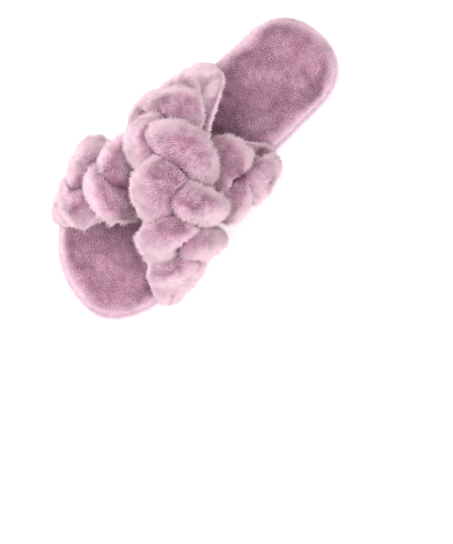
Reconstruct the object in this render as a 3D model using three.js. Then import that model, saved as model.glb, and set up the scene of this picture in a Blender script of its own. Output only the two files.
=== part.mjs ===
// A fluffy house slipper for the right foot: two plaited plush straps cross over a fur-covered footbed
// on a moulded, stitched outsole. Millimetres. +X is the outer (little toe) side, +Y the toe, +Z up.
// The plaits are three stuffed plush tubes each, sewn onto a plush band that runs from edge to edge.
import * as THREE from "three";
import { mergeVertices } from "three/addons/utils/BufferGeometryUtils.js";

// ---- Sole outline, seen from above; rounds are measured from the tip or the heel back ----
const SOLE_LENGTH = 256;
const HEEL_WIDTH = 75;
const HEEL_ROUND = 37; // from the heel back to where the heel is widest
const WAIST_HALF_INNER = 37.5; // from the centre line to the inner edge at the arch
const WAIST_FROM_HEEL = 92;
const BALL_HALF_OUTER = 48; // from the centre line to the outer edge at the little toe joint
const BALL_HALF_INNER = 54.5; // from the centre line to the inner edge at the big toe joint
const TOE_ROUND_OUTER = 86; // from the toe tip back to the outer ball
const TOE_ROUND_INNER = 46; // from the toe tip back to the inner ball
const TOE_SIDE = 21; // how far the toe tip lies to the inner side
const OUTLINE_POINTS = 48;

// ---- Layers, from the ground up ----
const CLEARANCE = 0.3; // between any two pieces that touch
const OUTSOLE_THICKNESS = 3;
const RIM_HEIGHT = 5.2; // top of the bead round the edge of the outsole
const RIM_WIDTH = 4;
const RIM_ROUND = 1.3;
const GROOVE_INSET = 5.5; // stitch groove under the sole, from the edge to its outer wall
const GROOVE_WIDTH = 2.5;
const GROOVE_DEPTH = 1.2;
const TREAD_HALF_LENGTH = 4.6; // lozenges sunk into the underside
const TREAD_HALF_WIDTH = 2.8;
const TREAD_DEPTH = 0.6;
const TREAD_STEP_A = [12.4, 12.2]; // from one lozenge to the next, across and lengthwise
const TREAD_STEP_B = [-21.7, 3.5];
const TREAD_REACH = 16; // steps tried each way from the middle
const TREAD_MARGIN = 5; // from the groove to the nearest lozenge
const THREAD_RADIUS = 0.4;
const THREAD_SIDES = 6;
const BOARD_THICKNESS = 1.5;
const MIDSOLE_THICKNESS = 6;
const CUSHION_THICKNESS = 5;
const COVER_THICKNESS = 3; // knitted backing and the dense foot of the pile
const COVER_SETBACK = 3; // from the bead to the footbed
const SHOULDER_WIDTH = 7; // how far the footbed rounds over at its edge
const SHOULDER_HEIGHT = 12;
const FOAM_SETBACK = 3.2; // room for that rounding outside the foam
const FOAM_SHOULDER = 4;
const DISH_DEPTH = 1.2; // hollow of the footbed where the foot presses
const DISH_INSET = 24;

// ---- Straps: places are measured from the toe tip, heights from the ground ----
const OUTER_REAR_ROOT = 154; // middle of the upper strap's rear root, on the little toe side
const INNER_FRONT_ROOT = 62; // and of its front root, on the big toe side
const OUTER_FRONT_ROOT = 52; // the same for the lower strap
const INNER_REAR_ROOT = 143;
const BAND_THICKNESS = 3;
const BAND_LENGTHWISE = 50; // width of a band along the sole's edge
const UNDER_BAND_HEIGHT = 45; // middle of the lower band at its highest
const BAND_SPACING = 21; // from there to the upper band
const TOP_BULGES = [-0.4, -0.3]; // how squarely an arch turns over, on the little and big toe sides:
const UNDER_BULGES = [-0.4, 0.4]; // 0 is a plain half ellipse, and less leans in over the foot
const BAND_STEPS_ALONG = 26;
const BAND_STEPS_ACROSS = 5;

// ---- Plait: three strands swing from side to side and pass over and under each other ----
const STRANDS = 3;
const PLAIT_SWING = 12.5; // sideways
const PLAIT_SHIFT = 4; // of the whole plait towards the toe side of its band
const PLAIT_LIFT = 5; // up and down
const OVERLAP_BIAS = 0.4; // how far strands on their way to the heel side go over those on their way back
const PLAIT_PITCH = 90; // along the strap, for one strand to come back to its place
const STRAND_HALF_WIDTH = 14;
const STRAND_HALF_HEIGHT = 8;
const LEAST_RADIUS = 2; // of a strand where the upper strap presses on it
const STRAND_ASPECT = STRAND_HALF_WIDTH / STRAND_HALF_HEIGHT;
const STRAND_SIDES = 9;
const STRAND_RINGS = 40;
const STRAND_GAP = 5.8; // left between strands for their pile
const LEAST_PRESSED = 0.35; // share of the way to a neighbour that a strand keeps however close they come
const BAND_GAP = 1.5; // and between strands and bands
const STRAND_SKIN = 2; // plush tube wall
const FILLING_SLACK = 2; // between the wall and the wadding in it
const THINNEST_SHARE = 0.2; // of a squeezed strand's radius, that each mm of wall may take
const TOP_ENDS = [0.6, 0.36]; // angles on the arch from each root to where the plait starts and ends
const UNDER_ENDS = [0.24, 0.3];
const PLAIT_END_SHARE = 0.08; // share of a strand's length over which it swells from its sewn end
const PATH_STRETCH = 1.12; // a plait lies outside its band, so it is this much longer
const TOP_PHASE = 0.6; // where in its turn each plait starts
const UNDER_PHASE = 1;
const SQUASH_STEP = 0.12; // most that its height may change from one cross-section to the next
const ROOT_SQUASH = 0.45; // height left of a plait beside its roots
const LEAST_SQUASH = 0.3; // and at the least where the upper strap lies on it

const PLUSH = { color: 0xd8b0c0, roughness: 0.95, metalness: 0 };
const FOOTBED_PLUSH = { color: 0xc493a6, roughness: 0.95, metalness: 0 };
const RUBBER = { color: 0xe6d3de, roughness: 0.45, metalness: 0 };
const FOAM = { color: 0xf1ece6, roughness: 0.9, metalness: 0 };
const BOARD = { color: 0xcbb694, roughness: 0.85, metalness: 0 };
const THREAD = { color: 0xcfa9bd, roughness: 0.7, metalness: 0 };
const WADDING = { color: 0xf4f2f0, roughness: 1, metalness: 0 };

const slipper = new THREE.Group();

function add(name, geometry, material) {
  const mesh = new THREE.Mesh(geometry, new THREE.MeshStandardMaterial(material));
  mesh.name = name;
  slipper.add(mesh);
  return mesh;
}

// ---- Closed surfaces from rings of points ----

function signedVolume(points, triangles) {
  let six = 0;
  for (const [a, b, c] of triangles) {
    six += points[a].dot(new THREE.Vector3().crossVectors(points[b], points[c]));
  }
  return six;
}

// A geometry whose faces point out, whichever way round its triangles were listed.
function closedGeometry(points, triangles) {
  const outward = signedVolume(points, triangles) > 0;
  const order = triangles.flatMap(([a, b, c]) => (outward ? [a, b, c] : [a, c, b]));
  const geometry = new THREE.BufferGeometry().setFromPoints(points);
  geometry.setIndex(order);
  const merged = mergeVertices(geometry);
  merged.computeVertexNormals();
  return merged;
}

function joinRings(rings, looped) {
  const n = rings[0].length;
  const triangles = [];
  const count = looped ? rings.length : rings.length - 1;
  for (let i = 0; i < count; i++) {
    const here = i * n;
    const next = ((i + 1) % rings.length) * n;
    for (let j = 0; j < n; j++) {
      const k = (j + 1) % n;
      triangles.push([here + j, next + j, next + k], [here + j, next + k, here + k]);
    }
  }
  return triangles;
}

const flat = (points) => points.map((p) => new THREE.Vector2(p.x, p.y));

// Rings round the sole: the first and last are filled in flat. Pockets are sunk into the first.
function plateGeometry(rings, pockets = [], depth = 0) {
  const triangles = joinRings(rings, false);
  const points = rings.flat();
  const n = rings[0].length;
  const last = points.length - n;
  for (const [a, b, c] of THREE.ShapeUtils.triangulateShape(flat(rings.at(-1)), [])) {
    triangles.push([last + a, last + c, last + b]);
  }
  const face = rings[0].map((_, i) => i);
  for (const pocket of pockets) {
    const m = pocket.length;
    const mouth = points.length;
    points.push(...pocket, ...pocket.map((p) => p.clone().setZ(p.z + depth)));
    for (let j = 0; j < m; j++) {
      const k = (j + 1) % m;
      face.push(mouth + j);
      triangles.push([mouth + j, mouth + m + j, mouth + m + k], [mouth + j, mouth + m + k, mouth + k]);
    }
    for (const [a, b, c] of THREE.ShapeUtils.triangulateShape(flat(pocket), [])) {
      triangles.push([mouth + m + a, mouth + m + b, mouth + m + c]);
    }
  }
  for (const [a, b, c] of THREE.ShapeUtils.triangulateShape(flat(rings[0]), pockets.map(flat))) {
    triangles.push([face[a], face[b], face[c]]);
  }
  return closedGeometry(points, triangles);
}

// Rings along a strand: the two ends are closed by fans.
function tubeGeometry(rings) {
  const triangles = joinRings(rings, false);
  const points = rings.flat();
  const n = rings[0].length;
  const ends = [
    [0, 1],
    [(rings.length - 1) * n, -1],
  ];
  for (const [start, turn] of ends) {
    const middle = new THREE.Vector3();
    for (let j = 0; j < n; j++) middle.addScaledVector(points[start + j], 1 / n);
    const hub = points.push(middle) - 1;
    for (let j = 0; j < n; j++) {
      const k = (j + 1) % n;
      triangles.push(turn > 0 ? [hub, start + j, start + k] : [hub, start + k, start + j]);
    }
  }
  return closedGeometry(points, triangles);
}

// A pipe with open ends: its inside is facetted the same way as its outside.
function pipeGeometry(outer, inner) {
  const n = outer[0].length;
  const half = outer.length * n;
  const last = half - n;
  const skin = joinRings(outer, false);
  const triangles = [...skin, ...skin.map(([a, b, c]) => [half + a, half + c, half + b])];
  for (let j = 0; j < n; j++) {
    const k = (j + 1) % n;
    triangles.push([j, k, half + k], [j, half + k, half + j]);
    triangles.push([last + j, half + last + k, last + k], [last + j, half + last + j, half + last + k]);
  }
  return closedGeometry([...outer, ...inner].flat(), triangles);
}

// ---- The outline ----

function outlinePath() {
  const half = SOLE_LENGTH / 2;
  const heelHalf = HEEL_WIDTH / 2;
  const heelY = -half + HEEL_ROUND;
  const waistY = -half + WAIST_FROM_HEEL;
  const outerY = half - TOE_ROUND_OUTER;
  const innerY = half - TOE_ROUND_INNER;
  const toeOuter = BALL_HALF_OUTER + TOE_SIDE;
  const toeInner = BALL_HALF_INNER - TOE_SIDE;
  const full = 0.62; // handle lengths as a share of each quarter: a circle's is 0.55
  const round = 0.55;
  const blunt = 0.72;
  const easy = 0.4;
  const path = new THREE.Path();
  path.moveTo(0, -half);
  path.bezierCurveTo(full * heelHalf, -half, heelHalf, heelY - full * HEEL_ROUND, heelHalf, heelY);
  path.bezierCurveTo(
    heelHalf, heelY + easy * (outerY - heelY),
    BALL_HALF_OUTER, outerY - easy * (outerY - heelY),
    BALL_HALF_OUTER, outerY,
  );
  path.bezierCurveTo(
    BALL_HALF_OUTER, outerY + blunt * TOE_ROUND_OUTER,
    -TOE_SIDE + round * toeOuter, half,
    -TOE_SIDE, half,
  );
  path.bezierCurveTo(
    -TOE_SIDE - round * toeInner, half,
    -BALL_HALF_INNER, innerY + round * TOE_ROUND_INNER,
    -BALL_HALF_INNER, innerY,
  );
  path.bezierCurveTo(
    -BALL_HALF_INNER, innerY - easy * (innerY - waistY),
    -WAIST_HALF_INNER, waistY + easy * (innerY - waistY),
    -WAIST_HALF_INNER, waistY,
  );
  path.lineTo(-heelHalf, heelY);
  path.bezierCurveTo(-heelHalf, heelY - full * HEEL_ROUND, -full * heelHalf, -half, 0, -half);
  return path;
}

const outline = outlinePath().getSpacedPoints(OUTLINE_POINTS).slice(0, OUTLINE_POINTS);
const fineOutline = outlinePath().getSpacedPoints(OUTLINE_POINTS * 12);

// The outward direction in plan at each point of the outline.
const outwards = outline.map((_, i) => {
  const before = outline.at(i - 1);
  const after = outline[(i + 1) % OUTLINE_POINTS];
  const along = after.clone().sub(before).normalize();
  return new THREE.Vector2(along.y, -along.x);
});

// The outline moved in by inset, at height z.
function ring(inset, z) {
  return outline.map((p, i) => {
    const q = p.clone().addScaledVector(outwards[i], -inset);
    return new THREE.Vector3(q.x, q.y, z);
  });
}

// ---- Sole ----

const grooveInner = GROOVE_INSET + GROOVE_WIDTH;

function insideSole(point, inset) {
  let crossings = 0;
  for (let i = 1; i < fineOutline.length; i++) {
    const [a, b] = [fineOutline[i - 1], fineOutline[i]];
    if (a.distanceTo(point) < inset) return false;
    const share = (point.y - a.y) / (b.y - a.y);
    if (a.y > point.y !== b.y > point.y && a.x + share * (b.x - a.x) > point.x) crossings++;
  }
  return crossings % 2 === 1;
}

// Lozenges in slanting rows over the middle of the underside, each listed clockwise.
function treadPockets() {
  const pockets = [];
  const inset = grooveInner + TREAD_MARGIN + TREAD_HALF_LENGTH;
  for (let i = -TREAD_REACH; i <= TREAD_REACH; i++) {
    for (let j = -TREAD_REACH; j <= TREAD_REACH; j++) {
      const x = i * TREAD_STEP_A[0] + j * TREAD_STEP_B[0];
      const y = i * TREAD_STEP_A[1] + j * TREAD_STEP_B[1];
      if (!insideSole(new THREE.Vector2(x, y), inset)) continue;
      pockets.push([
        new THREE.Vector3(x + TREAD_HALF_WIDTH, y, 0),
        new THREE.Vector3(x, y - TREAD_HALF_LENGTH, 0),
        new THREE.Vector3(x - TREAD_HALF_WIDTH, y, 0),
        new THREE.Vector3(x, y + TREAD_HALF_LENGTH, 0),
      ]);
    }
  }
  return pockets;
}

add(
  "outsole",
  plateGeometry([
    ring(grooveInner, 0),
    ring(grooveInner, GROOVE_DEPTH),
    ring(GROOVE_INSET, GROOVE_DEPTH),
    ring(GROOVE_INSET, 0),
    ring(RIM_ROUND, 0),
    ring(0, RIM_ROUND),
    ring(0, RIM_HEIGHT - RIM_ROUND),
    ring(RIM_ROUND, RIM_HEIGHT),
    ring(RIM_WIDTH - RIM_ROUND / 2, RIM_HEIGHT),
    ring(RIM_WIDTH, RIM_HEIGHT - RIM_ROUND / 2),
    ring(RIM_WIDTH, OUTSOLE_THICKNESS),
  ], treadPockets(), TREAD_DEPTH),
  RUBBER,
);

function threadRings() {
  const inset = GROOVE_INSET + GROOVE_WIDTH / 2;
  const rings = [];
  for (let k = 0; k < THREAD_SIDES; k++) {
    const a = (2 * Math.PI * k) / THREAD_SIDES;
    rings.push(ring(inset + THREAD_RADIUS * Math.cos(a), GROOVE_DEPTH / 2 + THREAD_RADIUS * Math.sin(a)));
  }
  return rings;
}
const thread = threadRings();
add("outsole_stitching", closedGeometry(thread.flat(), joinRings(thread, true)), THREAD);

const coverOuter = RIM_WIDTH + COVER_SETBACK;
const coverInner = coverOuter + COVER_THICKNESS;
const fillInset = coverInner + FOAM_SETBACK;
const boardFloor = OUTSOLE_THICKNESS + CLEARANCE;
const midsoleFloor = boardFloor + BOARD_THICKNESS + CLEARANCE;
const cushionFloor = midsoleFloor + MIDSOLE_THICKNESS + CLEARANCE;
const cushionTop = cushionFloor + CUSHION_THICKNESS;
const coverFloor = cushionTop + CLEARANCE;
const coverTop = coverFloor + COVER_THICKNESS;

function slab(name, floor, thickness, material) {
  add(name, plateGeometry([ring(fillInset, floor), ring(fillInset, floor + thickness)]), material);
}
slab("insole_board", boardFloor, BOARD_THICKNESS, BOARD);
slab("midsole_foam", midsoleFloor, MIDSOLE_THICKNESS, FOAM);

// The rounded, dished top that the cushion and both faces of the cover share.
function domedRings(inset, top, width = SHOULDER_WIDTH, height = SHOULDER_HEIGHT) {
  return [
    ring(inset, top - height * 0.72),
    ring(inset + width * 0.22, top - height * 0.3),
    ring(inset + width * 0.75, top),
    ring(DISH_INSET, top - DISH_DEPTH),
  ];
}
const cushionDome = domedRings(fillInset, cushionTop, FOAM_SHOULDER, FOAM_SHOULDER);
add("cushion_foam", plateGeometry([ring(fillInset, cushionFloor), ...cushionDome]), FOAM);
add(
  "footbed_fur_cover",
  plateGeometry([
    ...domedRings(coverInner, coverFloor).reverse(),
    ring(coverInner, boardFloor),
    ring(coverOuter, boardFloor),
    ...domedRings(coverOuter, coverTop),
  ]),
  FOOTBED_PLUSH,
);

// ---- Straps ----

// The point of the sole's edge at lengthwise place y, on the outer (+1) or inner (-1) side.
function edgePoint(y, side) {
  let best = null;
  for (let i = 1; i < fineOutline.length; i++) {
    const [a, b] = [fineOutline[i - 1], fineOutline[i]];
    if ((a.y - y) * (b.y - y) <= 0 && a.y !== b.y && Math.sign(a.x + b.x) === side) {
      const share = (y - a.y) / (b.y - a.y);
      const along = b.clone().sub(a).normalize();
      const out = new THREE.Vector2(along.y, -along.x);
      best = { place: a.clone().lerp(b, share), out };
    }
  }
  return best;
}

function rootPoint(fromToe, side, across) {
  const y = SOLE_LENGTH / 2 - fromToe + (across - 0.5) * BAND_LENGTHWISE;
  const { place, out } = edgePoint(y, side);
  return place.addScaledVector(out, -RIM_WIDTH / 2);
}

const bandFloor = RIM_HEIGHT + CLEARANCE;

// A strap is an arch over the foot. angle runs from 0 at its outer root to pi at its inner one.
function archPoint(strap, angle, across) {
  const outer = rootPoint(strap.outerRoot, 1, across);
  const inner = rootPoint(strap.innerRoot, -1, across);
  const c = Math.cos(angle);
  const [outerBulge, innerBulge] = strap.bulges;
  const bulge = (outerBulge + innerBulge) / 2 + ((outerBulge - innerBulge) / 2) * c;
  const swing = c * (1 + bulge * (1 - c * c));
  const p = outer.lerp(inner, 0.5 - 0.5 * swing);
  return new THREE.Vector3(p.x, p.y, bandFloor + (strap.height - bandFloor) * Math.sin(angle));
}

// Point, direction along the strap, across it and out of it, on the middle of the band.
function archFrame(strap, angle, across = 0.5) {
  const step = 1e-3;
  const at = archPoint(strap, angle, across);
  const along = archPoint(strap, angle + step, across).sub(archPoint(strap, angle - step, across)).normalize();
  const sideways = archPoint(strap, angle, across + step).sub(archPoint(strap, angle, across - step));
  const out = sideways.clone().cross(along).normalize();
  const over = along.clone().cross(out).normalize();
  return { at, along, over, out };
}

function bandGeometry(strap) {
  const rings = [];
  for (let i = 0; i <= BAND_STEPS_ALONG; i++) {
    const angle = (Math.PI * i) / BAND_STEPS_ALONG;
    const outer = [];
    const inner = [];
    for (let j = 0; j <= BAND_STEPS_ACROSS; j++) {
      const { at, out } = archFrame(strap, angle, j / BAND_STEPS_ACROSS);
      outer.push(at.clone().addScaledVector(out, BAND_THICKNESS / 2));
      inner.push(at.clone().addScaledVector(out, -BAND_THICKNESS / 2));
    }
    rings.push([...outer, ...inner.reverse()]);
  }
  const n = rings[0].length;
  const last = (rings.length - 1) * n;
  const triangles = joinRings(rings, false);
  for (let j = 0; j < n / 2 - 1; j++) {
    const [a, b, c, d] = [j, j + 1, n - 2 - j, n - 1 - j];
    triangles.push([a, b, c], [a, c, d]);
    triangles.push([last + a, last + c, last + b], [last + a, last + d, last + c]);
  }
  return closedGeometry(rings.flat(), triangles);
}

// How much of its height a plait keeps at this place, under whatever band crosses over it.
function squash(frame, angle) {
  const full = 2 * (STRAND_HALF_HEIGHT + PLAIT_LIFT);
  const sides = [-1, 0, 1].map((side) => PLAIT_SHIFT + side * (PLAIT_SWING + STRAND_HALF_WIDTH / 2));
  const free = (share) =>
    sides.every((x) => clearOfClouds(inSection(frame, x, BAND_THICKNESS / 2 + BAND_GAP + share * full), BAND_GAP));
  const most = ROOT_SQUASH + (1 - ROOT_SQUASH) * Math.sin(angle);
  let low = LEAST_SQUASH;
  while (low < most && free(low)) low += 0.02;
  return Math.min(low, most);
}

function smooth(x) {
  const t = Math.min(1, Math.max(0, x));
  return t * t * (3 - 2 * t);
}

// A plait is low on both sides of a band that crosses it, and rises from there bit by bit.
function sinkGradually(sections) {
  sections.forEach((section, i) => {
    const around = sections.slice(Math.max(0, i - 1), i + 2);
    section.low = Math.min(...around.map((near) => near.squeezed));
  });
  for (const order of [sections, [...sections].reverse()]) {
    order.forEach((section, i) => {
      if (i > 0) section.low = Math.min(section.low, order[i - 1].low + SQUASH_STEP);
    });
  }
}

// Lowers a strand's middle until there is room for it under the band that crosses it.
function giveWay(section, middle) {
  const least = BAND_THICKNESS / 2 + BAND_GAP + LEAST_RADIUS;
  const clear = () => clearOfClouds(inSection(section, middle.x, middle.y), BAND_GAP + LEAST_RADIUS);
  while (middle.y > least && !clear()) middle.y -= 0.25;
  return middle;
}

// The cross-sections of a plait and where its strands' middles lie in each.
function plaitSections(strap) {
  const sections = [];
  for (let i = 0; i <= STRAND_RINGS; i++) {
    const [first, last] = strap.ends;
    const angle = first + ((Math.PI - first - last) * i) / STRAND_RINGS;
    const frame = archFrame(strap, angle);
    const end = Math.min(i, STRAND_RINGS - i) / (STRAND_RINGS * PLAIT_END_SHARE);
    sections.push({ ...frame, squeezed: squash(frame, angle), plump: 0.6 + 0.4 * Math.sqrt(smooth(end)) });
  }
  sinkGradually(sections);
  let run = 0;
  sections.forEach((section, i) => {
    run += section.at.distanceTo((sections[i - 1] ?? section).at) * PATH_STRETCH;
    const turn = (2 * Math.PI * run) / PLAIT_PITCH + strap.phase;
    section.middles = [];
    for (let n = 0; n < STRANDS; n++) {
      const phase = turn + (2 * Math.PI * n) / STRANDS;
      const onTop = (OVERLAP_BIAS * Math.sin(phase) - Math.sin(2 * phase)) / (1 + 0.4 * OVERLAP_BIAS);
      const lift = BAND_THICKNESS / 2 + BAND_GAP + section.low * (STRAND_HALF_HEIGHT + PLAIT_LIFT * (1 + onTop));
      const across = PLAIT_SHIFT + PLAIT_SWING * Math.cos(phase);
      section.middles.push(giveWay(section, new THREE.Vector2(across, lift)));
    }
  });
  return sections;
}

// Soft strands press flat against each other: each reaches half way to its neighbours.
function pressedRadius(section, number, a) {
  const wide = STRAND_HALF_WIDTH * section.plump;
  const high = STRAND_HALF_HEIGHT * section.plump * section.low;
  const shape = wide / high;
  const towards = new THREE.Vector2(Math.cos(a), Math.sin(a));
  let reach = wide;
  section.middles.forEach((middle, other) => {
    const between = middle.clone().sub(section.middles[number]);
    between.y *= shape;
    const share = towards.dot(between);
    if (other === number || share <= 0) return;
    const far = between.length();
    const gap = STRAND_GAP * Math.hypot(between.x, between.y * STRAND_ASPECT) / far;
    reach = Math.min(reach, (far * Math.max(far - gap, far * LEAST_PRESSED)) / (2 * share));
  });
  return new THREE.Vector2(reach * towards.x, (reach * towards.y) / shape);
}

function inSection(section, x, y) {
  return section.at.clone().addScaledVector(section.over, x).addScaledVector(section.out, y);
}

function clearOfClouds(point, gap) {
  const least = BAND_THICKNESS / 2 + gap;
  return clouds.every((cloud) => cloud.every((p) => p.distanceToSquared(point) >= least * least));
}

// Draws a strand's surface back until it is clear of both bands.
function clearOfBands(section, middle, offset) {
  const clear = (share) =>
    clearOfClouds(inSection(section, middle.x + share * offset.x, middle.y + share * offset.y), BAND_GAP);
  if (clear(1)) return offset;
  let [low, high] = [0, 1];
  for (let k = 0; k < 8; k++) {
    const share = (low + high) / 2;
    if (clear(share)) low = share;
    else high = share;
  }
  return offset.multiplyScalar(low);
}

// Points closely spaced over a band's middle surface, for keeping strands clear of it.
function bandCloud(strap) {
  const points = [];
  for (let i = 0; i <= 90; i++) {
    for (let j = 0; j <= 24; j++) points.push(archPoint(strap, (Math.PI * i) / 90, j / 24));
  }
  return points;
}

function strandOffsets(strap, number) {
  return strap.sections.map((section) => {
    const offsets = [];
    for (let k = 0; k < STRAND_SIDES; k++) {
      const offset = pressedRadius(section, number, (2 * Math.PI * k) / STRAND_SIDES);
      offsets.push(clearOfBands(section, section.middles[number], offset));
    }
    return offsets;
  });
}

// The strand's cross-sections, drawn in from its surface by inset, from one trimmed end to the other.
function strandRings(strap, number, offsets, inset, trim) {
  const kept = strap.sections.slice(trim, strap.sections.length - trim);
  return kept.map((section, i) =>
    offsets[i + trim].map((offset) => {
      const share = 1 - Math.min(inset / offset.length(), inset * THINNEST_SHARE);
      const middle = section.middles[number];
      return inSection(section, middle.x + share * offset.x, middle.y + share * offset.y);
    }),
  );
}

const straps = [
  {
    name: "top_strap", outerRoot: OUTER_REAR_ROOT, innerRoot: INNER_FRONT_ROOT,
    height: UNDER_BAND_HEIGHT + BAND_SPACING, bulges: TOP_BULGES, ends: TOP_ENDS, phase: TOP_PHASE,
  },
  {
    name: "under_strap", outerRoot: OUTER_FRONT_ROOT, innerRoot: INNER_REAR_ROOT,
    height: UNDER_BAND_HEIGHT, bulges: UNDER_BULGES, ends: UNDER_ENDS, phase: UNDER_PHASE,
  },
];
const clouds = straps.map(bandCloud);

for (const strap of straps) {
  strap.sections = plaitSections(strap);
  add(`${strap.name}_band`, bandGeometry(strap), PLUSH);
  for (let n = 0; n < STRANDS; n++) {
    const offsets = strandOffsets(strap, n);
    const outer = strandRings(strap, n, offsets, 0, 0);
    const inner = strandRings(strap, n, offsets, STRAND_SKIN, 0);
    const filling = strandRings(strap, n, offsets, STRAND_SKIN + FILLING_SLACK, 1);
    add(`${strap.name}_strand_${n + 1}`, pipeGeometry(outer, inner), PLUSH);
    add(`${strap.name}_filling_${n + 1}`, tubeGeometry(filling), WADDING);
  }
}

// The part's origin is the middle of its box, on the ground.
const box = new THREE.Box3().setFromObject(slipper, true);
slipper.position.set(-(box.min.x + box.max.x) / 2, -(box.min.y + box.max.y) / 2, -box.min.z);

export default slipper;
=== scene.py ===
import math

import bpy
import numpy as np
from mathutils import Matrix, Vector
from mathutils.geometry import delaunay_2d_cdt


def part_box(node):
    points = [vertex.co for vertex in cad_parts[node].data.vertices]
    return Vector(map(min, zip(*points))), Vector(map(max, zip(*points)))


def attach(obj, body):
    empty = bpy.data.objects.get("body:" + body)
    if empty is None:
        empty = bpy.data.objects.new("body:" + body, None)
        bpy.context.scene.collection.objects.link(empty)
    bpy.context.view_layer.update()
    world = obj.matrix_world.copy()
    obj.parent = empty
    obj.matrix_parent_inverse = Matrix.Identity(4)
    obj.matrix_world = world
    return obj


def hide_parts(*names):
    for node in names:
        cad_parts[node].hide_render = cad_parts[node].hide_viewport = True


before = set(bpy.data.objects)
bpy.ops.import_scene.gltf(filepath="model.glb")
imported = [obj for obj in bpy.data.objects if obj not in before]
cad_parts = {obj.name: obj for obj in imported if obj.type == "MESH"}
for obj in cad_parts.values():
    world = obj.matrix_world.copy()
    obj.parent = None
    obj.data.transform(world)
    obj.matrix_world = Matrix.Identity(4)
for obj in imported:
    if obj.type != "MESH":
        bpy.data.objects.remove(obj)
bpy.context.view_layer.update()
MM = 0.001
SEED = 7
chance = np.random.default_rng(SEED)

# ---- Sizes of the sole in millimetres, as its frame was built ----
SOLE_LENGTH = 256.0
HEEL_WIDTH = 75.0
HEEL_ROUND = 37.0
WAIST_HALF_INNER = 37.5
WAIST_FROM_HEEL = 92.0
BALL_HALF_OUTER = 48.0
BALL_HALF_INNER = 54.5
TOE_ROUND_OUTER = 86.0
TOE_ROUND_INNER = 46.0
TOE_SIDE = 21.0
OUTSOLE_THICKNESS = 3.0
RIM_HEIGHT = 5.2
RIM_WIDTH = 4.0
RIM_ROUND = 1.6  # a little rounder than the frame's
GROOVE_INSET = 5.5
GROOVE_WIDTH = 2.5
GROOVE_DEPTH = 1.2
GROOVE_DRAFT = 0.2  # how much narrower the groove is at its bottom, each side
TREAD_HALF_LENGTH = 4.6
TREAD_HALF_WIDTH = 2.8
TREAD_DEPTH = 0.6
TREAD_DRAFT = 0.06  # share by which a lozenge narrows towards its bottom
TREAD_STEP_A = (12.4, 12.2)
TREAD_STEP_B = (-21.7, 3.5)
TREAD_REACH = 16  # steps tried each way from the middle
TREAD_MARGIN = 5.0
STITCH_COUNT = 150
STITCH_PITCH = 4.2
STITCH_RADIUS = 0.42

# ---- The fur-covered bed ----
BED_TOP = 19.7
BED_INSET = 5.6  # of the fur's backing, which lies outside the frame's cover
BED_ROWS = 330
BED_COLUMNS = 118
BED_EDGE_DROP = 9.5  # from the top down to where the wall starts
BED_EDGE_RISE = 7.5  # of the rounded shoulder
BED_SHOULDER = 9.0
BED_ROLL = 0.9  # height of the soft roll inside the shoulder
BED_ROLL_INSET = 11.0
BED_ROLL_WIDTH = 7.0
BED_DISH = 0.7
BED_DISH_START = 14.0
BED_DISH_WIDTH = 20.0
BED_WALL_FOOT = 3.6
BED_WALL_STEPS = 6
BED_PILE = 2.1
BED_EDGE_PILE = 1.0  # how much longer the pile is at the edge
BED_EDGE_REACH = 9.0

# ---- The straps' arches and plaits, as the frame was built ----
OUTER_REAR_ROOT = 154.0
INNER_REAR_ROOT = 143.0
OUTER_FRONT_ROOT = 52.0
INNER_FRONT_ROOT = 62.0
BAND_LENGTHWISE = 50.0
UNDER_BAND_HEIGHT = 45.0
BAND_SPACING = 21.0
BAND_THICKNESS = 3.0
BAND_FLOOR_CLEARANCE = 0.3
PLAIT_SWING = 12.5
PLAIT_LIFT = 5.0
PLAIT_PITCH = 90.0
PATH_STRETCH = 1.12
PLAIT_SHIFT = 4.0
OVERLAP_BIAS = 0.4
TOP_BULGES = (-0.4, -0.3)
UNDER_BULGES = (-0.4, 0.4)
TOP_PHASE = 0.6
UNDER_PHASE = 1.0
STRANDS = 3
STRAND_HALF_WIDTH = 14.0
STRAND_HALF_HEIGHT = 8.0
BAND_GAP = 1.5

# ---- How the pile varies ----
PILE_UNEVEN = 0.15  # share of its height, over clumps and from tuft to tuft
CLUMP_SIZE = 2.6
PILE_SCATTER = 0.175
TIP_TONE = 0.78
TONE_SIZE = 3.2
TONE_SCATTER = 0.12

# ---- How the plush swells, sinks and is pressed ----
STRAND_ROWS = 340
STRAND_COLUMNS = 134
STRAND_PILE = 3.4
STRAND_SEAM = 3.0  # left between strands for their pile
STRAND_SWELL = 0.3  # how much fatter a strand is where it lies on top
STRAND_DENTS = 0.12
PRESS_SHARPNESS = 7  # how squarely a strand flattens against its neighbours
LEAST_PRESSED = 0.3
TOP_PLAIT = (0.6, math.pi - 0.42)  # angles where it starts and ends, inside the frame's
UNDER_PLAIT = (0.36, math.pi - 0.36)
ROOT_SQUASH = 0.3  # lower than the frame's
LEAST_SQUASH = 0.3
SINK_STEP = 0.012  # most that a plait's height changes from row to row
END_SHARE = 0.1  # of a strand's length, over which it swells from its sewn end
END_PLUMP = 0.3
PLAIT_DROOP = 0.014
DROOP_START = 22.0  # sideways, from where a strand may hang below its band
DROOP_WIDTH = 8.0
DROOP_DEPTH = 9.0
LEAST_OVER_BAND = 0.4
CREASE_SHEARED = 0.5  # share of the pile's height lost in a crease
STRAND_NAP = 0.4
STRAND_NAP_SIZE = 12
BAND_ROWS = 230
BAND_COLUMNS = 150
BAND_PILE = 2.6
BAND_SPREAD = 0.52
BAND_ROOT_SHARE = 0.5  # of its width, kept at its roots
BAND_WIDEN_REACH = 0.6  # angle over which it widens from there
BAND_LIFT = 0.8
BAND_PLUMP = 2.6
BAND_ROOT_PUFF = 2.8
BAND_ROOT_REACH = 0.8  # angle over which the puffed root settles
REAR_FLARE = 0.3  # share of its width by which a band widens towards the heel
REAR_FLARE_AT = 0.85
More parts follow.
